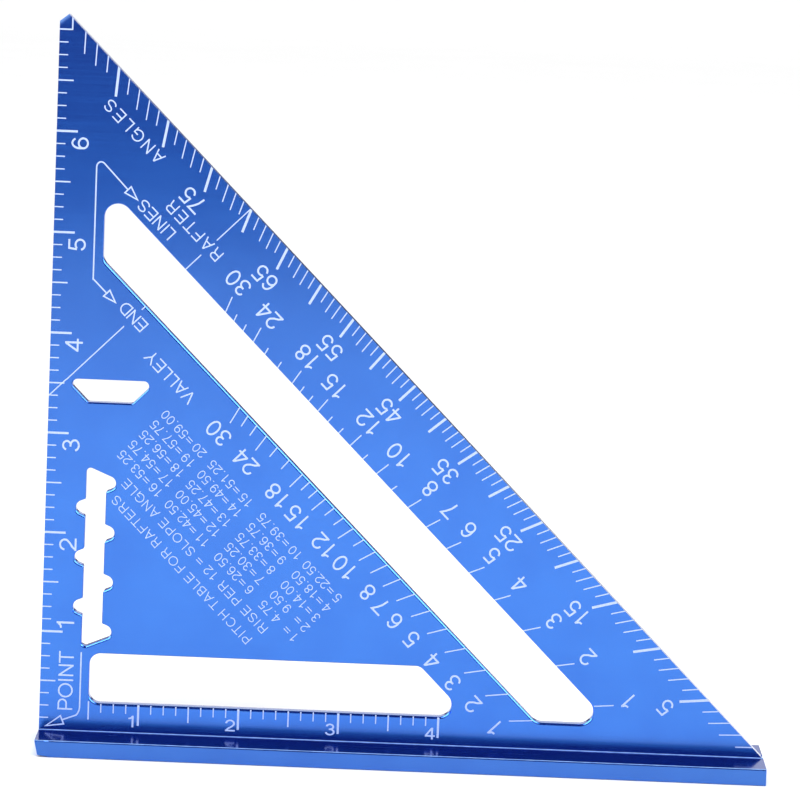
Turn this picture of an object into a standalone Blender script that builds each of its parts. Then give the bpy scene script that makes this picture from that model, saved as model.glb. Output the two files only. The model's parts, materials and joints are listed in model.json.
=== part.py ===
"""A seven inch rafter square: a flat triangular blade whose foot sits in the groove of a T-shaped fence bar.

The square stands on its fence. +X runs along the fence, away from the pivot corner, -Y faces the side with
the scales, and +Z runs up the blade. The origin is under the middle of the fence. The blade is drawn in a
plane of its own, in inches, from the pivot corner: u along the fence and v up the inch edge, with v = 0 on
the fence's top face.
"""

import math

import bpy

INCH = 0.0254

# Overall sizes, in metres
FENCE_LENGTH = 7.25 * INCH
FENCE_WIDTH = 0.031
FENCE_HEIGHT = 0.0042
BLADE_THICKNESS = 0.0035
SEAT_DEPTH = 0.0022  # how far the blade's foot reaches into the fence
SEAT_GAP = 0.0003  # clearance round the foot
LIP_RADIUS = 0.0006  # the small hollow fillet along each side of the groove
LIP_LAND = 0.0001  # the flat top of each fillet
EDGE_RADIUS = 0.0004  # the fence's long upper edges
UNDER_RADIUS = 0.0001  # and its long lower edges

# The blade's outline, in inches
LEG = 7.24  # both legs of the triangle, to its sharp corners
TIP_RADIUS = 0.058
FOOT = SEAT_DEPTH / INCH

# The long slot beside the sloping edge: its two long sides are the lines u + v = SLOT_INNER and SLOT_OUTER
SLOT_INNER = 5.236
SLOT_OUTER = 5.992
SLOT_LEFT = 0.498
SLOT_BOTTOM = 0.270
SLOT_RADIUS = 0.135

# The low slot over the fence, cut off by the line u + v = LOW_SLANT
LOW_LEFT = 0.488
LOW_BOTTOM = 0.287
LOW_TOP = 0.795
LOW_SLANT = 4.582
LOW_RADIUS = 0.11
LOW_NOSE_RADIUS = 0.128

# The small window, a trapezium with its long side up and 45 degree ends
WINDOW_MIDDLE = 0.6125
WINDOW_BOTTOM = 3.319
WINDOW_TOP = 3.547
WINDOW_HALF_BOTTOM = 0.2205
WINDOW_RADIUS = 0.05
WINDOW_FOOT_RADIUS = 0.03

# The scribing slot, with a notch for a pencil every quarter inch, right and left by turns
SCRIBE_LEFT = 0.400
SCRIBE_RIGHT = 0.5975
SCRIBE_RADIUS = 0.04
NOTCH_RISE = 0.0125  # how far above its inch mark a notch sits
NOTCH_HALF = 0.087
NOTCH_SLOPE = 0.414
NOTCH_RADIUS = 0.071
RIGHT_NOTCHES = (1.0, 1.5, 2.0, 2.5)
LEFT_NOTCHES = (2.25, 1.75, 1.25)

ARC_STEP = math.radians(9)
PROFILE_STEPS = 4


def clear_scene():
    for obj in list(bpy.data.objects):
        bpy.data.objects.remove(obj, do_unlink=True)


def material(name, colour, metallic, roughness):
    made = bpy.data.materials.new(name)
    made.use_nodes = True
    shader = made.node_tree.nodes["Principled BSDF"]
    shader.inputs["Base Color"].default_value = (*colour, 1)
    shader.inputs["Metallic"].default_value = metallic
    shader.inputs["Roughness"].default_value = roughness
    return made


def corner_arc(before, corner, after, radius):
    """Points of the arc that rounds a corner, or the corner alone where the radius is zero."""
    if radius == 0:
        return [corner]
    to_before = (before[0] - corner[0], before[1] - corner[1])
    to_after = (after[0] - corner[0], after[1] - corner[1])
    start = math.atan2(to_before[1], to_before[0])
    opening = (math.atan2(to_after[1], to_after[0]) - start + math.pi) % (2 * math.pi) - math.pi
    middle = start + opening / 2
    reach = radius / math.sin(abs(opening) / 2)
    centre = (corner[0] + reach * math.cos(middle), corner[1] + reach * math.sin(middle))
    sweep = math.copysign(math.pi - abs(opening), -opening)
    first = start + math.copysign(math.pi / 2, -opening)
    steps = max(2, round(abs(sweep) / ARC_STEP))
    angles = [first + sweep * step / steps for step in range(steps + 1)]
    return [(centre[0] + radius * math.cos(a), centre[1] + radius * math.sin(a)) for a in angles]


def rounded_outline(corners):
    """A closed outline from (u, v, radius) corners."""
    outline = []
    for index, (u, v, radius) in enumerate(corners):
        before = corners[index - 1]
        after = corners[(index + 1) % len(corners)]
        outline += corner_arc(before[:2], (u, v), after[:2], radius)
    return outline


def blade_outline():
    return rounded_outline([
        (0, -FOOT, 0),
        (LEG, -FOOT, 0),
        (LEG, 0, 0),
        (0, LEG, TIP_RADIUS),
    ])


def long_slot_outline():
    return rounded_outline([
        (SLOT_LEFT, SLOT_INNER - SLOT_LEFT, SLOT_RADIUS),
        (SLOT_INNER - SLOT_BOTTOM, SLOT_BOTTOM, SLOT_RADIUS),
        (SLOT_OUTER - SLOT_BOTTOM, SLOT_BOTTOM, SLOT_RADIUS),
        (SLOT_LEFT, SLOT_OUTER - SLOT_LEFT, SLOT_RADIUS),
    ])


def low_slot_outline():
    return rounded_outline([
        (LOW_LEFT, LOW_BOTTOM, LOW_RADIUS),
        (LOW_SLANT - LOW_BOTTOM, LOW_BOTTOM, LOW_NOSE_RADIUS),
        (LOW_SLANT - LOW_TOP, LOW_TOP, LOW_RADIUS),
        (LOW_LEFT, LOW_TOP, LOW_RADIUS),
    ])


def window_outline():
    half_top = WINDOW_HALF_BOTTOM + WINDOW_TOP - WINDOW_BOTTOM
    return rounded_outline([
        (WINDOW_MIDDLE - WINDOW_HALF_BOTTOM, WINDOW_BOTTOM, WINDOW_FOOT_RADIUS),
        (WINDOW_MIDDLE + WINDOW_HALF_BOTTOM, WINDOW_BOTTOM, WINDOW_FOOT_RADIUS),
        (WINDOW_MIDDLE + half_top, WINDOW_TOP, WINDOW_RADIUS),
        (WINDOW_MIDDLE - half_top, WINDOW_TOP, WINDOW_RADIUS),
    ])


def notch(side, height, direction):
    """The three corners of one pencil notch, in the order met when the outline runs up (1) or down (-1)."""
    centre = height + NOTCH_RISE
    point = side + direction * NOTCH_HALF / NOTCH_SLOPE
    return [
        (side, centre - direction * NOTCH_HALF, 0),
        (point, centre, NOTCH_RADIUS),
        (side, centre + direction * NOTCH_HALF, 0),
    ]


def scribe_slot_outline():
    """The end notches have no outer mouth corner: the slot's sloping ends run straight on to their points."""
    end_drop = NOTCH_HALF + NOTCH_SLOPE * (SCRIBE_RIGHT - SCRIBE_LEFT)
    bottom = RIGHT_NOTCHES[0] + NOTCH_RISE - end_drop
    top = RIGHT_NOTCHES[-1] + NOTCH_RISE + end_drop
    corners = [(SCRIBE_LEFT, bottom, SCRIBE_RADIUS)]
    rising = [notch(SCRIBE_RIGHT, height, 1) for height in RIGHT_NOTCHES]
    corners += rising[0][1:]
    for middle in rising[1:-1]:
        corners += middle
    corners += rising[-1][:-1]
    corners.append((SCRIBE_LEFT, top, SCRIBE_RADIUS))
    for height in LEFT_NOTCHES:
        corners += notch(SCRIBE_LEFT, height, -1)
    return rounded_outline(corners)


def quarter_turn(y, z, radius, start, end):
    angles = [start + (end - start) * step / PROFILE_STEPS for step in range(PROFILE_STEPS + 1)]
    return [(y + radius * math.cos(a), z + radius * math.sin(a)) for a in angles]


def fence_profile():
    """The fence's cross-section in metres, y across and z up, with the groove and its two fillet lips."""
    side = FENCE_WIDTH / 2
    groove = BLADE_THICKNESS / 2 + SEAT_GAP
    lip = groove + LIP_LAND + LIP_RADIUS
    lip_top = FENCE_HEIGHT + LIP_RADIUS
    right = [
        *quarter_turn(side - UNDER_RADIUS, UNDER_RADIUS, UNDER_RADIUS, -math.pi / 2, 0),
        *quarter_turn(side - EDGE_RADIUS, FENCE_HEIGHT - EDGE_RADIUS, EDGE_RADIUS, 0, math.pi / 2),
        *quarter_turn(lip, lip_top, LIP_RADIUS, -math.pi / 2, -math.pi),
        (groove, lip_top),
        (groove, FENCE_HEIGHT - SEAT_DEPTH - SEAT_GAP),
    ]
    left = [(-y, z) for y, z in reversed(right)]
    return right + left


def extruded(name, outlines, length, finish):
    """A solid with the given outlines in its local x and y, and its length centred along its local z."""
    curve = bpy.data.curves.new(name, "CURVE")
    curve.dimensions = "2D"
    curve.fill_mode = "BOTH"
    curve.extrude = length / 2
    for outline in outlines:
        spline = curve.splines.new("POLY")
        spline.points.add(len(outline) - 1)
        for point, (x, y) in zip(spline.points, outline):
            point.co = (x, y, 0, 1)
        spline.use_cyclic_u = True
    curve.materials.append(finish)
    obj = bpy.data.objects.new(name, curve)
    bpy.context.scene.collection.objects.link(obj)
    return obj


def in_metres(outline):
    return [(u * INCH, v * INCH) for u, v in outline]


def make_blade(finish):
    outlines = [
        blade_outline(),
        long_slot_outline(),
        low_slot_outline(),
        window_outline(),
        scribe_slot_outline(),
    ]
    blade = extruded("blade", [in_metres(outline) for outline in outlines], BLADE_THICKNESS, finish)
    blade.location = (-FENCE_LENGTH / 2, 0, FENCE_HEIGHT)
    blade.rotation_euler = (math.pi / 2, 0, 0)


def make_fence(finish):
    fence = extruded("fence", [fence_profile()], FENCE_LENGTH, finish)
    fence.rotation_euler = (math.pi / 2, 0, math.pi / 2)


def main():
    clear_scene()
    anodised = material("blue_anodised_aluminium", (0.03, 0.13, 0.62), 0.9, 0.35)
    make_blade(anodised)
    make_fence(anodised)


main()
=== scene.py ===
"""A blue anodised seven inch rafter square on its fence, with its white etched scales.

The square's two solids come from the CAD frame. This script gives them broken edges, a brushed and anodised
skin and every etched line, numeral and word, as thin inlays a few hundredths of a millimetre proud of the
blade's front face.

Etched marks are drawn in inches in the blade's own plane: u along the fence from the pivot corner and v up
from the fence's top face. The diagonal scales are drawn in a turned copy of it: a runs up the sloping edge in
the direction that its numerals read, and b points from the sloping edge back to the pivot corner, which is at
a = b = 0.
"""

import functools
import json
import math

import bmesh
import bpy
from mathutils import Matrix, Vector
from mathutils.geometry import delaunay_2d_cdt


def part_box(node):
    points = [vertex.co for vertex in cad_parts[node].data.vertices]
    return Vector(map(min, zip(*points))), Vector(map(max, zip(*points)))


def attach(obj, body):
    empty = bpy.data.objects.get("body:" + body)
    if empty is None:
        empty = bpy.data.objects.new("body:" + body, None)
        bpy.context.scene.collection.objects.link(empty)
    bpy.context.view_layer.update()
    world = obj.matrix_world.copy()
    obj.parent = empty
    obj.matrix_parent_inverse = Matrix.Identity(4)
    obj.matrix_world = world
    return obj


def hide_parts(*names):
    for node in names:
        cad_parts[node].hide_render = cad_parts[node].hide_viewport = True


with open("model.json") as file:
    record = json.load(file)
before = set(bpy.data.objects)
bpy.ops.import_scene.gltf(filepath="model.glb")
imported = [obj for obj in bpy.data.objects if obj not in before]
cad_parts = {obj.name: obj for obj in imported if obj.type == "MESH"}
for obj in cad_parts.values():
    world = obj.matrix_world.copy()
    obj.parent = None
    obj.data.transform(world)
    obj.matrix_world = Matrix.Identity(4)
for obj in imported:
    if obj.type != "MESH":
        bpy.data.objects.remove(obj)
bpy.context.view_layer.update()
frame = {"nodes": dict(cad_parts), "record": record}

INCH = 0.0254
MM = 0.001

# Places in the frame
BLADE_LOW, BLADE_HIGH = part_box("blade")
FENCE_LOW, FENCE_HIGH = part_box("fence")
SHOULDER = next(m["pos_m"][2] for m in frame["record"]["mounts"] if m["name"] == "front_shoulder")

# Sizes of the visible finish, in metres
SLOT_ROUNDING = 0.6 * MM  # the slots' lower edges, and
SLOT_TOP_ROUNDING = 0.15 * MM  # their upper ones
WINDOW_SHARE = 0.7  # the small window has this share of the slots' rounding
FENCE_ROUNDING = 0.12 * MM
MARK_DEPTH = 0.02 * MM  # how far an inlay reaches into the blade
MARK_PROUD = 0.02 * MM  # and how far it stands out of it
TOUCHING = 0.01 * MM  # two faces or points nearer than this are at the same place

# The blade's outline, in inches. Its diagonal edges are given by their b.
BLADE_WIDTH = (BLADE_HIGH.x - BLADE_LOW.x) / INCH
SLOPING_EDGE = -BLADE_WIDTH / math.sqrt(2)
SLOT_INNER_EDGE = -5.236 / math.sqrt(2)  # the long slot's two long sides
SLOT_OUTER_EDGE = -5.992 / math.sqrt(2)
LOW_SLOT_EDGE = 0.287  # the low slot's lower side
TIP_START = 7.04  # the rounding of the tip starts here
TIP_CUT = 7.08  # the tip is filed off along a line that leaves the inch edge here,
TIP_CUT_RISE = 0.8  # and climbs this steeply away from it
WINDOW_RIGHT = 1.1  # the small window lies left of this,
WINDOW_HEIGHTS = (3.2, 3.6)  # and between these heights

# The widths of the etched lines, in inches
THIN = 0.0112
MIDDLE = 0.0142
THICK = 0.0215
HEAVY = 0.025

# Lettering: heights in inches, and how heavy the strokes are
NUMERAL_HEIGHT = 0.175
WORD_HEIGHT = 0.125
TABLE_HEIGHT = 0.098
BOLD = 0.96  # the numerals and words
FINE = 0.75  # the table

# Places that the scales share, in inches
PIVOT = 0.015  # the scales' rays meet on the fence, this far from the corner
LOW_SLIP = 0.026  # the lowest degree marks slip this far down the sloping edge,
SLIP_END = 20  # and those from this degree on not at all
CROSS_LINE = 2.38  # a broken thin line crosses the scales here, square to the sloping edge
COMMON_RUN = 12  # rises are given to this run for common rafters
VALLEY_RUN = 12 * math.sqrt(2)  # and to this one for hip and valley rafters
MAIN_RISES = (1, 2, 3, 4, 5, 6, 7, 8, 10, 12, 15, 18, 24, 30)  # the rises that have numerals


# Camera, floor and light


def make_camera():
    """The view from the front, a little above, with a long lens and the horizon slightly turned."""
    heading, tilt, turn = math.radians(0.208), math.radians(7.537), math.radians(2.268)
    data = bpy.data.cameras.new("camera")
    data.sensor_width = 36
    data.lens = 219.26
    data.clip_start = 0.1
    data.clip_end = 100
    camera = bpy.data.objects.new("camera", data)
    bpy.context.scene.collection.objects.link(camera)
    from_corner = Vector((3.6543, -47.845, 9.795)) * INCH
    place = Vector((BLADE_LOW.x, BLADE_LOW.y, SHOULDER)) + from_corner
    level = Matrix.Rotation(heading, 4, "Z") @ Matrix.Rotation(math.pi / 2 - tilt, 4, "X")
    camera.matrix_world = Matrix.Translation(place) @ level @ Matrix.Rotation(turn, 4, "Z")
    bpy.context.scene.camera = camera


def stage_plane(name, size_x, size_y, location, rotation, finish):
    mesh = bpy.data.meshes.new(name)
    x, y = size_x / 2, size_y / 2
    mesh.from_pydata([(-x, -y, 0), (x, -y, 0), (x, y, 0), (-x, y, 0)], [], [(0, 1, 2, 3)])
    mesh.materials.append(finish)
    plane = bpy.data.objects.new(name, mesh)
    bpy.context.scene.collection.objects.link(plane)
    plane.location = location
    plane.rotation_euler = rotation
    return plane


def node_material(name):
    """A new material, its node tree and its main shader."""
    material = bpy.data.materials.new(name)
    material.use_nodes = True
    tree = material.node_tree
    return material, tree, tree.nodes["Principled BSDF"]


def piece_place(tree):
    """The place on the piece, which every pattern on it follows."""
    return tree.nodes.new("ShaderNodeTexCoord").outputs["Object"]


def noise(tree, scale, detail=2, place=None):
    """The value of a noise pattern."""
    pattern = tree.nodes.new("ShaderNodeTexNoise")
    pattern.inputs["Scale"].default_value = scale
    pattern.inputs["Detail"].default_value = detail
    if place:
        tree.links.new(place, pattern.inputs["Vector"])
    return pattern.outputs["Fac"]


def mapped(tree, value, low, high, start=0, end=1):
    """The value, from low where it is start to high where it is end."""
    change = tree.nodes.new("ShaderNodeMapRange")
    change.inputs["From Min"].default_value = start
    change.inputs["From Max"].default_value = end
    change.inputs["To Min"].default_value = low
    change.inputs["To Max"].default_value = high
    tree.links.new(value, change.inputs["Value"])
    return change.outputs["Result"]


def blended(tree, value, start, first, end, last):
    """The colour first where the value is start, last where it is end, and a blend between."""
    ramp = tree.nodes.new("ShaderNodeValToRGB")
    for stop, position, colour in zip(ramp.color_ramp.elements, (start, end), (first, last)):
        stop.position = position
        stop.color = (*colour, 1)
    tree.links.new(value, ramp.inputs["Fac"])
    return ramp.outputs["Color"]


def paper_material():
    material, tree, shader = node_material("white_paper")
    shader.inputs["Roughness"].default_value = 0.9
    shader.inputs["Specular IOR Level"].default_value = 0.1
    fibres = noise(tree, 400)
    tree.links.new(mapped(tree, fibres, 0.94, 0.97), shader.inputs["Base Color"])
    return material


def glow_material(name, colour):
    material, tree, shader = node_material(name)
    tree.nodes.remove(shader)
    glow = tree.nodes.new("ShaderNodeEmission")
    glow.inputs["Color"].default_value = (*colour, 1)
    tree.links.new(glow.outputs["Emission"], tree.nodes["Material Output"].inputs["Surface"])
    return material


def studio_card(name, width, height, place, facing, colour):
    """A flat card beside the object, square to the direction given, that shows only in its reflections."""
    turn = Vector(facing).to_track_quat("Z", "Y").to_euler()
    card = stage_plane(name, width, height, place, turn, glow_material(name, colour))
    card.visible_camera = False
    card.visible_diffuse = False
    card.visible_shadow = False
    card.visible_transmission = False


def make_stage():
    """The floor, a dark arch in front of the object and over it, and a bright card on each side."""
    stage_plane("floor", 24, 24, (0, 0, -0.1 * MM), (0, 0, 0), paper_material())
    width, reach, top = 2.2, 1.28, 2.0
    studio_card("arch_front", width, top, (0, -reach, top / 2), (0, -1, 0), (0.13, 0.078, 0.28))
    studio_card("arch_top", width, 2 * reach, (0, 0, top), (0, 0, 1), (0.02, 0.02, 0.04))
    for side, name in ((-1, "left_card"), (1, "right_card")):
        place = Vector((side * 1.19, -0.53, 1.09))
        studio_card(name, 1.5, 1.5, place, place, (8.5, 8.5, 8.5))
    height = 0.37
    studio_card("back_card", 6, height, (0, 3, height / 2), (0, 1, 0), (0.02, 0.02, 0.03))


def softbox(name, place, width, depth, watts):
    data = bpy.data.lights.new(name, "AREA")
    data.shape = "RECTANGLE"
    data.size = width
    data.size_y = depth
    data.energy = watts
    box = bpy.data.objects.new(name, data)
    bpy.context.scene.collection.objects.link(box)
    box.location = place
    box.visible_glossy = False


def make_light():
    world = bpy.data.worlds.new("studio")
    bpy.context.scene.world = world
    world.use_nodes = True
    sky = world.node_tree.nodes["Background"]
    sky.inputs["Color"].default_value = (1.0, 1.0, 1.0, 1)
    sky.inputs["Strength"].default_value = 1.06
    softbox("overhead_softbox", (0, -0.6, 1.0), 0.9, 0.4, 8.3)
    bpy.context.scene.view_settings.view_transform = "Standard"


# Finishes


def anodised_material(name, dark, light, tint, roughness):
    """Dye from dark to light under a clear oxide skin, on metal drawn along X: fine lines over a mottle.

    tint colours the gloss at low angles, and roughness is a pair, from the smoothest line to the roughest.
    """
    material, tree, shader = node_material(name)
    shader.inputs["Metallic"].default_value = 1
    shader.inputs["Specular Tint"].default_value = (*tint, 1)
    shader.inputs["Coat Weight"].default_value = 0.8
    shader.inputs["Coat Roughness"].default_value = 0.12
    shader.inputs["Coat IOR"].default_value = 1.5
    place = piece_place(tree)

    stretch = tree.nodes.new("ShaderNodeMapping")
    stretch.inputs["Scale"].default_value = (25, 900, 2600)
    tree.links.new(place, stretch.inputs["Vector"])
    lines = noise(tree, 1, 4, stretch.outputs["Vector"])
    mottle = noise(tree, 60, 3, place)

    both = tree.nodes.new("ShaderNodeMath")
    both.operation = "MULTIPLY_ADD"
    both.inputs[1].default_value = 0.6
    tree.links.new(lines, both.inputs[0])
    tree.links.new(mottle, both.inputs[2])
    dye = blended(tree, both.outputs["Value"], 0.5, dark, 1.1, light)
    tree.links.new(dye, shader.inputs["Base Color"])
    tree.links.new(mapped(tree, lines, *roughness), shader.inputs["Roughness"])

    grain = tree.nodes.new("ShaderNodeBump")
    grain.inputs["Strength"].default_value = 0.05
    grain.inputs["Distance"].default_value = 0.00002
    tree.links.new(lines, grain.inputs["Height"])
    tree.links.new(grain.outputs["Normal"], shader.inputs["Normal"])
    return material


BLADE_DYE = ((0.018, 0.137, 0.572), (0.025, 0.165, 0.630))
FENCE_DYE = ((0.020, 0.122, 0.480), (0.028, 0.147, 0.530))


def blade_material():
    return anodised_material("blue_blade", *BLADE_DYE, (0.10, 0.30, 0.80), (0.17, 0.27))


def wall_material():
    """The blade's walls have the same dye with a more neutral gloss."""
    return anodised_material("blade_walls", *BLADE_DYE, (0.8, 0.8, 0.9), (0.17, 0.27))


def fence_material():
    return anodised_material("blue_fence", *FENCE_DYE, (0.22, 0.28, 0.56), (0.22, 0.30))


def wear_tip(material):
    """Makes the blade paler and less metallic over the last 1.1 mm before the filed end of its tip."""
    tree = material.node_tree
    shader = tree.nodes["Principled BSDF"]
    dye = shader.inputs["Base Color"].links[0].from_socket
    outwards = Vector((-TIP_CUT_RISE, 0, 1)).normalized()
    end = outwards.dot(Vector((BLADE_LOW.x, 0, SHOULDER + TIP_CUT * INCH)))
    end_length = 1.1 * MM
    reach = tree.nodes.new("ShaderNodeVectorMath")
    reach.operation = "DOT_PRODUCT"
    reach.inputs[1].default_value = outwards
    tree.links.new(piece_place(tree), reach.inputs[0])
    lightening = mapped(tree, reach.outputs["Value"], 0, 1, end - end_length, end)
    # Blends to a paler blue, and less metal, towards the filed end
    lightened = tree.nodes.new("ShaderNodeMix")
    lightened.data_type = "RGBA"
    lightened.inputs["B"].default_value = (0.20, 0.38, 0.80, 1)
    tree.links.new(lightening, lightened.inputs["Factor"])
    tree.links.new(dye, lightened.inputs["A"])
    tree.links.new(lightened.outputs["Result"], shader.inputs["Base Color"])
    tree.links.new(mapped(tree, lightening, 1, 0.3), shader.inputs["Metallic"])


def worn_material():
    """Pale satin blue with a random mottle: a painted highlight for the fence's lips and the upper part of
    its outer edges.
    """
    material, tree, shader = node_material("painted_edge_highlight")
    shader.inputs["Metallic"].default_value = 0.3
    shader.inputs["Roughness"].default_value = 0.5
    highlight_mottle = noise(tree, 500, 3, piece_place(tree))
    tone = blended(tree, highlight_mottle, 0.35, (0.15, 0.29, 0.60), 0.65, (0.26, 0.43, 0.78))
    tree.links.new(tone, shader.inputs["Base Color"])
    return material


def etched_material():
    """The pale, slightly uneven white that a laser leaves where it burns the dye away."""
    material, tree, shader = node_material("etched_white")
    shader.inputs["Roughness"].default_value = 0.55
    shader.inputs["Specular IOR Level"].default_value = 0.3
    burn = noise(tree, 3500, place=piece_place(tree))
    tone = blended(tree, burn, 0.3, (0.385, 0.475, 0.72), 0.7, (0.47, 0.575, 0.84))
    tree.links.new(tone, shader.inputs["Base Color"])
    return material


# The two solids


def solid_copy(node, name, finish, second_material):
    """A new piece with the CAD node's shape, as clean flat faces with no split vertices."""
    shape = bmesh.new()
    shape.from_mesh(frame["nodes"][node].data)
    bmesh.ops.remove_doubles(shape, verts=shape.verts, dist=1e-6)
    bmesh.ops.dissolve_limit(shape, angle_limit=math.radians(0.5), verts=shape.verts, edges=shape.edges)
    mesh = bpy.data.meshes.new(name)
    shape.to_mesh(mesh)
    shape.free()
    mesh.materials.clear()
    mesh.materials.append(finish)
    mesh.materials.append(second_material)
    piece = bpy.data.objects.new(name, mesh)
    bpy.context.scene.collection.objects.link(piece)
    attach(piece, "root")
    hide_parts(node)
    return piece


def round_edges(piece, width, share):
    """Rounds the piece's sharp edges. share gives an edge's part of the width, from its middle and wall."""
    sharp = math.radians(50)
    shape = bmesh.new()
    shape.from_mesh(piece.data)
    weight = shape.edges.layers.float.new("bevel_weight_edge")
    for edge in shape.edges:
        if edge.calc_face_angle(0) > sharp:
            wall = min((face.normal for face in edge.link_faces), key=lambda normal: abs(normal.y))
            edge[weight] = share((edge.verts[0].co + edge.verts[1].co) / 2, wall)
            edge.smooth = edge[weight] > 0
    shape.to_mesh(piece.data)
    shape.free()
    piece.data.shade_smooth()
    bevel = piece.modifiers.new("rounded_edges", "BEVEL")
    bevel.limit_method = "WEIGHT"
    bevel.width = width
    bevel.segments = 4
    bevel.use_clamp_overlap = False
    bevel.material = 0
    weld = piece.modifiers.new("joined_points", "WELD")
    weld.merge_threshold = 0.001 * MM
    even = piece.modifiers.new("even_shading", "WEIGHTED_NORMAL")
    even.weight = 100
    even.keep_sharp = True


def blade_share(place, wall):
    """The slots' lower edges are well deburred, their upper ones less so, and the outer edges stay crisp."""
    u, v = (place.x - BLADE_LOW.x) / INCH, (place.z - SHOULDER) / INCH
    at_side = min(u, BLADE_WIDTH - u - v) < 0.01
    if at_side or v < 0 or v > TIP_START:
        return 0
    at_window = u < WINDOW_RIGHT and WINDOW_HEIGHTS[0] < v < WINDOW_HEIGHTS[1]
    most = WINDOW_SHARE if at_window else 1
    least = SLOT_TOP_ROUNDING / SLOT_ROUNDING
    return least + (most - least) * min(max(wall.z + 0.5, 0), 1)


def make_blade(finish, wall_finish):
    """The blade, with its tip filed off and its walls in a finish of their own."""
    blade = solid_copy("blade", "blade_plate", finish, wall_finish)
    for vertex in blade.data.vertices:
        cut = SHOULDER + TIP_CUT * INCH + TIP_CUT_RISE * (vertex.co.x - BLADE_LOW.x)
        vertex.co.z = min(vertex.co.z, cut)
    for face in blade.data.polygons:
        is_wall = abs(face.normal.y) < 0.5
        face.material_index = 1 if is_wall else 0
    round_edges(blade, SLOT_ROUNDING, blade_share)


def fence_share(place, wall):
    """Only the ends are left sharp by the extrusion, and the groove's lips are too fine to round there."""
    at_end = abs(place.x) > FENCE_HIGH.x - TOUCHING
    beside_groove = abs(place.y) <= 3 * MM
    return 1 if at_end and not beside_groove else 0


def close_groove(vertex):
    """Brings the groove's walls up to the blade, and makes its lips narrower and lower."""
    groove_wall, lip_reach = 0.32 * MM, 1.2 * MM
    narrowing, height_kept = 0.37 * MM, 0.26
    side = math.copysign(1, vertex.co.y)
    out = abs(vertex.co.y) - BLADE_HIGH.y
    if out < groove_wall:
        vertex.co.y = side * (BLADE_HIGH.y + TOUCHING)
    elif out < lip_reach and vertex.co.z > SHOULDER - TOUCHING:
        vertex.co.y -= side * narrowing
    if vertex.co.z > SHOULDER:
        vertex.co.z = SHOULDER + (vertex.co.z - SHOULDER) * height_kept


def wear_end(vertex):
    """Slopes the fence's pivot end back and up, most at its foot."""
    back, up = 0.8 * MM, 0.45 * MM
    if vertex.co.x < FENCE_LOW.x + TOUCHING:
        drop = max(1 - vertex.co.z / SHOULDER, 0)
        vertex.co.x += back * drop
        vertex.co.z += up * drop


def is_worn(face):
    """The faces that get the painted highlight: the lips, and the upper part of the rounding along each
    shoulder's outer edge.
    """
    place = face.calc_center_median()
    on_lip = place.z > SHOULDER + TOUCHING
    beside_edge = abs(place.y) > FENCE_HIGH.y - 0.39 * MM
    return on_lip or (beside_edge and 0.97 < place.z / SHOULDER < 0.999)


def make_fence(finish, second_material):
    """The fence, with its groove closed onto the blade, a painted highlight on its lips and upper edges, and
    its pivot end worn back.
    """
    fence = solid_copy("fence", "fence_bar", finish, second_material)
    end_length = 4 * MM
    shape = bmesh.new()
    shape.from_mesh(fence.data)
    bmesh.ops.bisect_plane(
        shape,
        geom=shape.verts[:] + shape.edges[:] + shape.faces[:],
        plane_co=(FENCE_LOW.x + end_length, 0, 0),
        plane_no=(1, 0, 0),
    )
    for vertex in shape.verts:
        close_groove(vertex)
        wear_end(vertex)
    for face in shape.faces:
        # Lips and upper outer edges get the pale painted highlight, the rest the blue finish
        face.material_index = 1 if is_worn(face) else 0
    shape.to_mesh(fence.data)
    shape.free()
    round_edges(fence, FENCE_ROUNDING, fence_share)


# Etched marks: every mark is a list of flat convex pieces, each a list of (u, v) points


def ribbon(points, width, closed=False):
    """A line of the given width along the points, mitred at each corner, as one quad for each stretch."""
    sharpest = 0.35  # keeps the mitres of sharp corners short
    count = len(points)
    sides = []
    for index, (x, y) in enumerate(points):
        before = points[index - 1] if closed or index else None
        after = points[(index + 1) % count] if closed or index < count - 1 else None
        normals = []
        for start, end in ((before, (x, y)), ((x, y), after)):
            if start is None or end is None:
                continue
            along = Vector((end[0] - start[0], end[1] - start[1])).normalized()
            normals.append(Vector((-along.y, along.x)))
        normal = sum(normals, Vector((0, 0))).normalized()
        reach = width / 2 / max(normal.dot(normals[0]), sharpest)
        right, up = normal.x * reach, normal.y * reach
        sides.append(((x + right, y + up), (x - right, y - up)))
    stretches = range(count if closed else count - 1)
    return [[*sides[i], *reversed(sides[(i + 1) % count])] for i in stretches]


def arc(x, y, rx, ry, start, end, steps=None):
    """Points along an ellipse, with angles in degrees."""
    steps = steps or max(3, round(abs(end - start) / 15))
    angles = [math.radians(start + (end - start) * step / steps) for step in range(steps + 1)]
    return [(x + rx * math.cos(a), y + ry * math.sin(a)) for a in angles]


def loop(x, y, rx, ry):
    return arc(x, y, rx, ry, 0, 360, 24)[:-1]


def half_turned(strokes, width):
    return [([(width - x, 100 - y) for x, y in points], closed) for points, closed in strokes]


def pen(*strokes):
    """Open strokes of a glyph."""
    return [(list(points), False) for points in strokes]


SIX = [(loop(39.5, 32, 26, 26), True), *pen(arc(40.5, 50, 27.5, 44, 38, 195))]
STEM = [(17.5, 0), (17.5, 100)]

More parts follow.
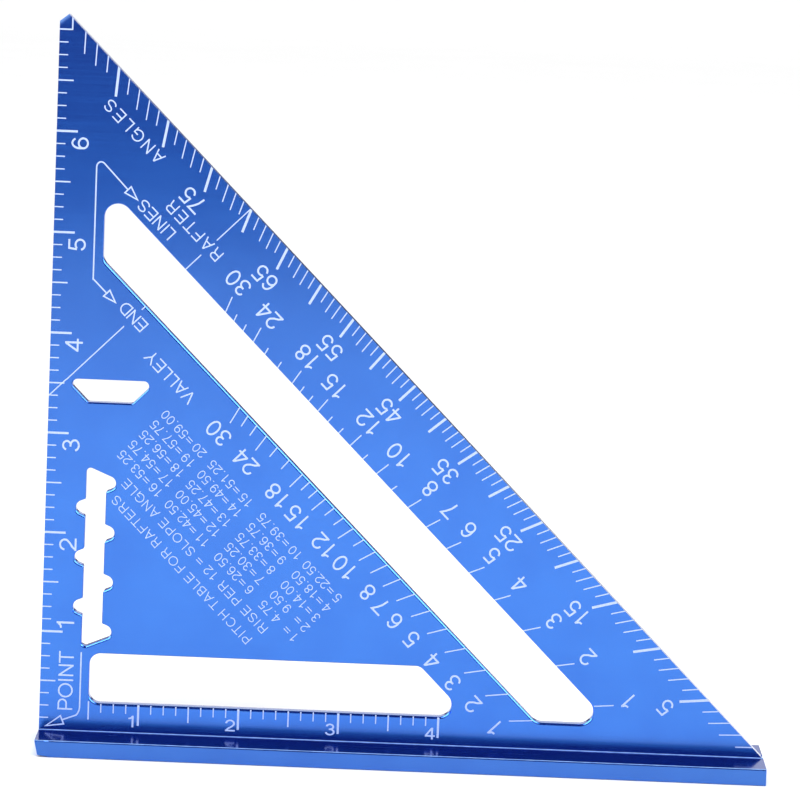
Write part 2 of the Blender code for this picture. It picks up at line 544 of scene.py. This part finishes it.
# Each glyph is (advance, strokes): centre lines on a grid where a capital is 100 high
GLYPHS = {
    " ": (38, []),
    ".": (38, pen([(13, 6), (25, 6)])),
    "=": (81, pen([(7, 34), (74, 34)], [(7, 62), (74, 62)])),
    "0": (77, [(loop(38.5, 50, 27, 44), True)]),
    "1": (77, pen([(44, 0), (44, 100)], [(15, 75), (27, 76.5), (35, 82), (40, 92)])),
    "2": (77, pen([*arc(38, 67.5, 26.5, 26.5, 178, -30), (46, 38), (26, 25), (12, 8)], [(5, 6), (71, 6)])),
    "3": (77, pen(arc(37, 73, 22.5, 21, 172, -90), arc(37, 28.5, 27, 23.5, 90, -172), [(30, 52), (39, 52)])),
    "4": (77, pen([(52, 0), (52, 100)], [(49, 95), (9, 31)], [(4, 29), (72, 29)])),
    "5": (77, pen([(66, 94), (19, 94), (13.5, 50)], arc(38, 32, 26.5, 26.5, 138, -168))),
    "6": (77, SIX),
    "7": (77, pen([(6, 94), (67, 94), (50, 66), (38, 38), (32, 0)])),
    "8": (77, [(loop(38.5, 74, 21.5, 20), True), (loop(38.5, 29.5, 26.5, 23.5), True)]),
    "9": (77, half_turned(SIX, 78)),
    "A": (93, pen([(8, 0), (46.5, 98)], [(46.5, 98), (85, 0)], [(22, 33), (71, 33)])),
    "B": (93, pen(STEM, [(17, 94), *arc(52, 73.5, 19, 20.5, 90, -90), (17, 53)],
                  [*arc(55, 29.5, 22.5, 23.5, 90, -90), (17, 6)])),
    "C": (101, pen(arc(52, 50, 41, 44.5, 38, 322))),
    "D": (101, pen(STEM, [(17, 94), *arc(46, 50, 42, 44, 90, -90), (17, 6)])),
    "E": (93, pen(STEM, [(17, 94), (84, 94)], [(17, 53), (80, 53)], [(17, 6), (86, 6)])),
    "F": (85, pen(STEM, [(17, 94), (80, 94)], [(17, 52), (73, 52)])),
    "G": (108, pen(arc(53, 50, 43, 44.5, 38, 325), [(93, 0), (93, 47), (56, 47)])),
    "H": (101, pen(STEM, [(84, 0), (84, 100)], [(17, 52), (84, 52)])),
    "I": (39, pen([(19.5, 0), (19.5, 100)])),
    "L": (77, pen(STEM, [(17, 6), (73, 6)])),
    "N": (101, pen(STEM, [(84, 0), (84, 100)], [(17.5, 97), (84, 3)])),
    "O": (108, [(loop(54, 50, 43.5, 44.5), True)]),
    "P": (93, pen(STEM, [(17, 94), *arc(56, 68, 25, 26, 90, -90), (17, 42)])),
    "R": (101, pen(STEM, [(17, 94), *arc(58, 72, 25, 22, 90, -90), (17, 50)],
                   [(56, 50), (70, 46), (77, 34), (79, 14), (84, 0)])),
    "S": (93, pen([*arc(46, 73.5, 30, 20.5, 8, 250), *arc(46.5, 28.5, 34, 22.5, 62, -172)])),
    "T": (85, pen([(3, 94), (82, 94)], [(42.5, 0), (42.5, 94)])),
    "V": (93, pen([(7, 100), (46.5, 3)], [(46.5, 3), (86, 100)])),
    "Y": (93, pen([(6, 100), (46.5, 44)], [(46.5, 44), (87, 100)], [(46.5, 0), (46.5, 46)])),
}
STROKE = 11


def merged(shapes):
    """The flat shapes as one sheet of triangles with no overlap: (points, triangles)."""
    points = [Vector(point) for shape in shapes for point in shape]
    faces, first = [], 0
    for shape in shapes:
        faces.append(list(range(first, first + len(shape))))
        first += len(shape)
    corners, _, triangles, _, _, sources = delaunay_2d_cdt(points, [], faces, 0, 1e-5, True)
    return corners, [triangle for triangle, source in zip(triangles, sources) if source]


@functools.cache
def glyph_sheet(letter, boldness):
    """The glyph's own sheet, drawn once for each letter and boldness."""
    strokes = [ribbon(points, STROKE * boldness, closed) for points, closed in GLYPHS[letter][1]]
    return merged([quad for stroke in strokes for quad in stroke])


def upright(u, v):
    return u, v


def reading_up(u, v):
    """Text that reads up the inch edge: its x runs along +v and its y along -u."""
    return -v, u


def sloping(a, b):
    """Text and scales that follow the sloping edge, with their tops towards the pivot corner."""
    return (-a - b) / math.sqrt(2), (a - b) / math.sqrt(2)


class Edge:
    """A straight edge of the blade: its outward direction, its place along that and its rounding."""

    def __init__(self, u, v, offset, rounding=0):
        self.u, self.v = u, v
        self.offset = offset
        self.rounding = rounding / INCH
        shares = (1, 0.7, 0.45, 0.25)
        self.cuts = [self.rounding * share for share in shares] if rounding else [TOUCHING / INCH]

    def distance(self, u, v):
        return self.offset - self.u * u - self.v * v


DIAGONAL = 1 / math.sqrt(2)
LEFT = Edge(-1, 0, 0)
SLOPE = Edge(DIAGONAL, DIAGONAL, -SLOPING_EDGE)
SLOT_INNER = Edge(DIAGONAL, DIAGONAL, -SLOT_INNER_EDGE, SLOT_ROUNDING)
SLOT_OUTER = Edge(-DIAGONAL, -DIAGONAL, SLOT_OUTER_EDGE, SLOT_TOP_ROUNDING)
LOW_SLOT = Edge(0, 1, LOW_SLOT_EDGE, SLOT_ROUNDING)


def on_blade(u, v, lift, edges=()):
    """The point over (u, v) at this height in metres above the blade's front face and its rounded edges."""
    back = 0
    for edge in edges:
        near = edge.distance(u, v)
        if -1e-6 < near < edge.rounding:
            lean = math.asin(1 - near / edge.rounding)
            reach = edge.rounding + lift / INCH
            u += edge.u * (near - edge.rounding + reach * math.sin(lean))
            v += edge.v * (near - edge.rounding + reach * math.sin(lean))
            back = (edge.rounding - reach * math.cos(lean)) * INCH + lift
    return BLADE_LOW.x + u * INCH, BLADE_LOW.y + back - lift, SHOULDER + v * INCH


class Sheet:
    """Flat marks in inches that become one inlay."""

    def __init__(self):
        self.points = []
        self.faces = []

    def add(self, points, faces):
        first = len(self.points)
        self.points += [tuple(point) for point in points]
        self.faces += [[first + index for index in face] for face in faces]

    def shapes(self, shapes, turn=upright):
        points, faces = merged(shapes)
        self.add([turn(*point) for point in points], faces)

    def text(self, letters, x, y, height, turn=upright, width=None, stretch=1, boldness=BOLD):
        """Letters centred on (x, y). A width spreads or tightens them, by the space between the letters."""
        scale = height / 100
        advances = [GLYPHS[letter][0] * scale * stretch for letter in letters]
        natural = sum(advances)
        extra = (width - natural) / (len(letters) - 1) if width else 0
        left = x - (width or natural) / 2
        for letter, advance in zip(letters, advances):
            if GLYPHS[letter][1]:
                points, faces = glyph_sheet(letter, boldness)
                placed = [(left + p[0] * scale * stretch, y - height / 2 + p[1] * scale) for p in points]
                self.add([turn(*point) for point in placed], faces)
            left += advance + extra

    def inlay(self, name, finish, edges=()):
        """The marks as a thin closed solid let into the blade's front face, and over its rounded edges."""
        shape = bmesh.new()
        vertices = [shape.verts.new((u, v, 0)) for u, v in self.points]
        for face in self.faces:
            shape.faces.new([vertices[index] for index in face])
        if not edges:
            bmesh.ops.dissolve_limit(shape, angle_limit=0.01, verts=shape.verts, edges=shape.edges)
        raised = bmesh.ops.extrude_face_region(shape, geom=shape.faces[:])
        for item in raised["geom"]:
            if isinstance(item, bmesh.types.BMVert):
                item.co.z = 1
        for vertex in shape.verts:
            lift = MARK_PROUD if vertex.co.z > 0.5 else -MARK_DEPTH
            vertex.co = on_blade(vertex.co.x, vertex.co.y, lift, edges)
        bmesh.ops.recalc_face_normals(shape, faces=shape.faces)
        mesh = bpy.data.meshes.new(name)
        shape.to_mesh(mesh)
        shape.free()
        mesh.materials.append(finish)
        piece = bpy.data.objects.new(name, mesh)
        bpy.context.scene.collection.objects.link(piece)
        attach(piece, "root")


def line(x0, y0, x1, y1, width):
    return ribbon([(x0, y0), (x1, y1)], width)[0]


def tick(start, end, width, edge):
    """A line from inside the blade out to one of its edges, with cuts along the edge where it rounds over."""
    run, rise = end[0] - start[0], end[1] - start[1]
    half = width / 2 / math.hypot(run, rise)
    sides = []
    for way in (-1, 1):
        u, v = start[0] + way * rise * half, start[1] - way * run * half
        depth = edge.distance(u, v)
        fall = depth - edge.distance(u + run, v + rise)
        parts = [(depth - cut) / fall for cut in edge.cuts]
        sides.append([(u, v)] + [(u + run * part, v + rise * part) for part in parts])
    left, right = sides
    return [[left[i], right[i], right[i + 1], left[i + 1]] for i in range(len(left) - 1)]


def arrowhead(tip, back_left, back_right, width):
    return ribbon([tip, back_left, back_right], width, closed=True)


def ray_tick(angle, inside, width, edge, at, slip=0):
    """A tick of a diagonal scale on the ray at this angle from the pivot point, from b = inside to b = at.

    slip moves it straight down the sloping edge by that much.
    """
    run, rise = math.cos(angle), math.sin(angle)
    start, end = [(-math.sqrt(2) * b - PIVOT) / (run + rise) for b in (inside, at)]
    right, down = PIVOT + slip * DIAGONAL, slip * DIAGONAL
    first = (right + start * run, start * rise - down)
    last = (right + end * run, end * rise - down)
    return tick(first, last, width, edge)


def inch_scale(finish):
    """Eighths of an inch up the blade's upright edge, from the fence to just under the tip."""
    lengths = {0: (0.209, THICK), 4: (0.152, MIDDLE)}
    last, last_length = 7.0, 0.127
    cross = 2.383  # the cross line's own place here
    ticks = Sheet()
    shapes = []
    for eighth in range(1, 56):
        length, width = lengths.get(eighth % 8, (0.09, THIN))
        shapes += tick((length, eighth / 8), (0, eighth / 8), width, LEFT)
    shapes += tick((last_length, last), (0, last), MIDDLE, LEFT)
    shapes += tick((last_length, last - 0.007), (last_length, BLADE_WIDTH - last_length), MIDDLE, SLOPE)
    shapes += tick(sloping(cross, -2.62), sloping(cross, -cross), THIN, LEFT)
    ticks.shapes(shapes)
    ticks.inlay("inch_scale", finish)
    numerals = Sheet()
    for inch in range(1, 7):
        v = inch + 0.083 if inch == 1 else inch - 0.117
        numerals.text(str(inch), v, -0.235, NUMERAL_HEIGHT, reading_up, stretch=1.08)
    numerals.inlay("inch_numerals", finish)


def degree_scale(finish):
    """Degrees from the pivot corner, along the sloping edge."""
    insides = {0: (-4.9, HEAVY), 2: (-4.962, THIN), 3: (-4.962, THIN)}
    ticks = Sheet()
    shapes = []
    for degree in range(1, 89):
        inside, width = insides.get(degree % 5, (-4.998, THIN))
        slip = max(0, LOW_SLIP * (1 - degree / SLIP_END))
        shapes += ray_tick(math.radians(degree), inside, width, SLOPE, SLOPING_EDGE, slip)
    shapes += tick(sloping(CROSS_LINE, -4.66), sloping(CROSS_LINE, SLOPING_EDGE), THIN, SLOPE)
    ticks.shapes(shapes)
    ticks.inlay("degree_scale", finish)
    numerals = Sheet()
    places = {5: -4.08, 15: -2.783, 25: -1.76, 35: -0.843, 45: -0.023, 55: 0.843, 65: 1.785, 75: 2.835}
    for degree, a in places.items():
        numerals.text(str(degree), a, -4.757, NUMERAL_HEIGHT, sloping)
    numerals.inlay("degree_numerals", finish)


def rise_numerals(name, places, row, finish):
    """The main rises in a row beside the long slot."""
    numerals = Sheet()
    for rise, a in zip(MAIN_RISES, places):
        numerals.text(str(rise), a, row, NUMERAL_HEIGHT, sloping)
    numerals.inlay(name, finish)


def rafter_scale(finish):
    """Rise in inches to a foot of run, along the outer side of the long slot, for common rafters."""
    minor_rises = (9, 11, 13, 14, 16, 17, 20, 22, 26, 28)
    ticks = Sheet()
    shapes = tick(sloping(CROSS_LINE, -4.45), sloping(CROSS_LINE, SLOT_OUTER_EDGE), THIN, SLOT_OUTER)
    for rise in MAIN_RISES + minor_rises:
        inside = -4.39 if rise in MAIN_RISES else -4.305
        shapes += ray_tick(math.atan2(rise, COMMON_RUN), inside, THIN, SLOT_OUTER, SLOT_OUTER_EDGE)
    ticks.shapes(shapes)
    ticks.inlay("rafter_scale", finish, (SLOT_OUTER,))
    places = (
        -3.787, -3.18, -2.68, -2.178, -1.778, -1.43, -1.16,
        -0.865, -0.413, 0.03, 0.525, 0.922, 1.482, 1.932,
    )
    rise_numerals("rafter_numerals", places, -4.527, finish)


def valley_scale(finish):
    """The same rises for hip and valley rafters, whose run is longer, along the slot's inner side."""
    short_rises = (11, 13, 14, 16, 17, 20, 22, 26, 28)
    ticks = Sheet()
    shapes = tick(sloping(CROSS_LINE, -3.645), sloping(CROSS_LINE, SLOT_INNER_EDGE), THIN, SLOT_INNER)
    shapes.append(line(*sloping(CROSS_LINE, -2.62), *sloping(CROSS_LINE, -3.405), THIN))
    for rise in (*MAIN_RISES, 9, *short_rises):
        inside = -3.575 if rise in short_rises else -3.515
        shapes += ray_tick(math.atan2(rise, VALLEY_RUN), inside, THIN, SLOT_INNER, SLOT_INNER_EDGE)
    ticks.shapes(shapes)
    ticks.inlay("valley_scale", finish, (SLOT_INNER,))
    places = (
        -3.08, -2.757, -2.455, -2.157, -1.855, -1.607, -1.405,
        -1.21, -0.875, -0.575, -0.19, 0.107, 0.5725, 0.968,
    )
    rise_numerals("valley_numerals", places, -3.362, finish)


def fence_scale(finish):
    """Four inches in eighths, hanging from the low slot's lower edge."""
    feet = {0: (0.075, THICK), 4: (0.125, MIDDLE)}
    shift = 0.011  # the whole scale stands this far left of the true inches
    ticks = Sheet()
    shapes = [line(0.49, 0.305, 0.49, 0.12, MIDDLE)]
    for eighth in range(5, 33):
        foot, width = feet.get(eighth % 8, (0.192, THIN))
        u = eighth / 8 - shift
        shapes += tick((u, foot), (u, LOW_SLOT_EDGE), width, LOW_SLOT)
    ticks.shapes(shapes)
    ticks.inlay("fence_scale", finish, (LOW_SLOT,))
    numerals = Sheet()
    for inch in range(1, 5):
        u = inch - 0.072 if inch == 1 else inch - 0.088
        numerals.text(str(inch), u, 0.117, 0.118, stretch=1.25, boldness=1.15)
    numerals.inlay("fence_numerals", finish)


def conversion_table(finish):
    """Rises from 1 to 20 inches in a foot, and their angles to the nearest quarter of a degree."""
    table = Sheet()
    table.text("PITCH TABLE FOR RAFTERS", 0.21, -2.155, TABLE_HEIGHT, sloping, 1.99, boldness=FINE)
    table.text("RISE PER 12 = SLOPE ANGLE", 0.22, -2.345, TABLE_HEIGHT, sloping, 2.07, boldness=FINE)
    digit = GLYPHS["0"][0] * TABLE_HEIGHT / 100
    top_row, row_height = -2.512, 0.1475
    equals_place, rise_place = 0.385, 0.45  # how far left of the angles' right side
    rises = iter(range(1, 21))
    for right in (-0.56, 0.095, 0.815, 1.495):
        for row in range(5):
            rise = next(rises)
            angle = round(math.degrees(math.atan2(rise, COMMON_RUN)) * 4) / 4
            angle_text, rise_text = f"{angle:.2f}", str(rise)
            cells = (
                (angle_text, right - digit * (len(angle_text) - 0.5) / 2),
                ("=", right - equals_place),
                (rise_text, right - rise_place - digit * len(rise_text) / 2),
            )
            for cell, a in cells:
                table.text(cell, a, top_row - row * row_height, TABLE_HEIGHT, sloping, boldness=FINE)
    table.inlay("conversion_table", finish)


def words(finish):
    """The name of each scale, and of the pointers."""
    lettering = Sheet()
    along_slope = (
        ("ANGLES", 3.72, -4.797, 0.80),
        ("RAFTER", 2.60, -4.562, 0.76),
        ("VALLEY", 1.70, -3.392, 0.65),
        ("END", 2.385, -3.537, 0.345),
        ("LINES", 2.935, -4.363, 0.48),
    )
    for word, a, b, width in along_slope:
        lettering.text(word, a, b, WORD_HEIGHT, sloping, width)
    lettering.text("POINT", 0.50, -0.255, 0.15, reading_up, 0.615)
    lettering.inlay("words", finish)


def pointers(finish):
    """The bracket with two arrows beside the long slot, and the arrow that points at the pivot corner."""
    lines = Sheet()
    upright_line, bend = 0.405, 0.045
    low_row, high_row, barb = -3.503, -4.36, 0.043
    bracket = [
        sloping(2.735, low_row),
        sloping(2.925, low_row),
        (upright_line, 4.545),
        *arc(upright_line + bend, 5.66, bend, 0.05, 180, 45, 6),
        sloping(3.34, high_row),
    ]
    shapes = ribbon(bracket, MIDDLE)
    for tip, back, row in ((2.61, 2.735, low_row), (3.205, 3.34, high_row)):
        shapes += arrowhead(sloping(tip, row), sloping(back, row + barb), sloping(back, row - barb), MIDDLE)
    corner_line = [(0.402, 0.80), *arc(0.325, 0.25, 0.077, 0.11, 0, -55, 5), (0.235, 0.108)]
    shapes += ribbon(corner_line, MIDDLE)
    shapes += arrowhead((0.07, 0.04), (0.213, 0.147), (0.247, 0.065), MIDDLE)
    lines.shapes(shapes)
    lines.inlay("pointers", finish)


def main():
    make_camera()
    make_stage()
    make_light()
    blue = blade_material()
    # The blade's tip is made paler and less metallic near its filed end
    wear_tip(blue)
    make_blade(blue, wall_material())
    # The fence's second material is the painted highlight on its lips and upper edges
    make_fence(fence_material(), worn_material())
    etched = etched_material()
    inch_scale(etched)
    degree_scale(etched)
    rafter_scale(etched)
    valley_scale(etched)
    fence_scale(etched)
    conversion_table(etched)
    words(etched)
    pointers(etched)


main()
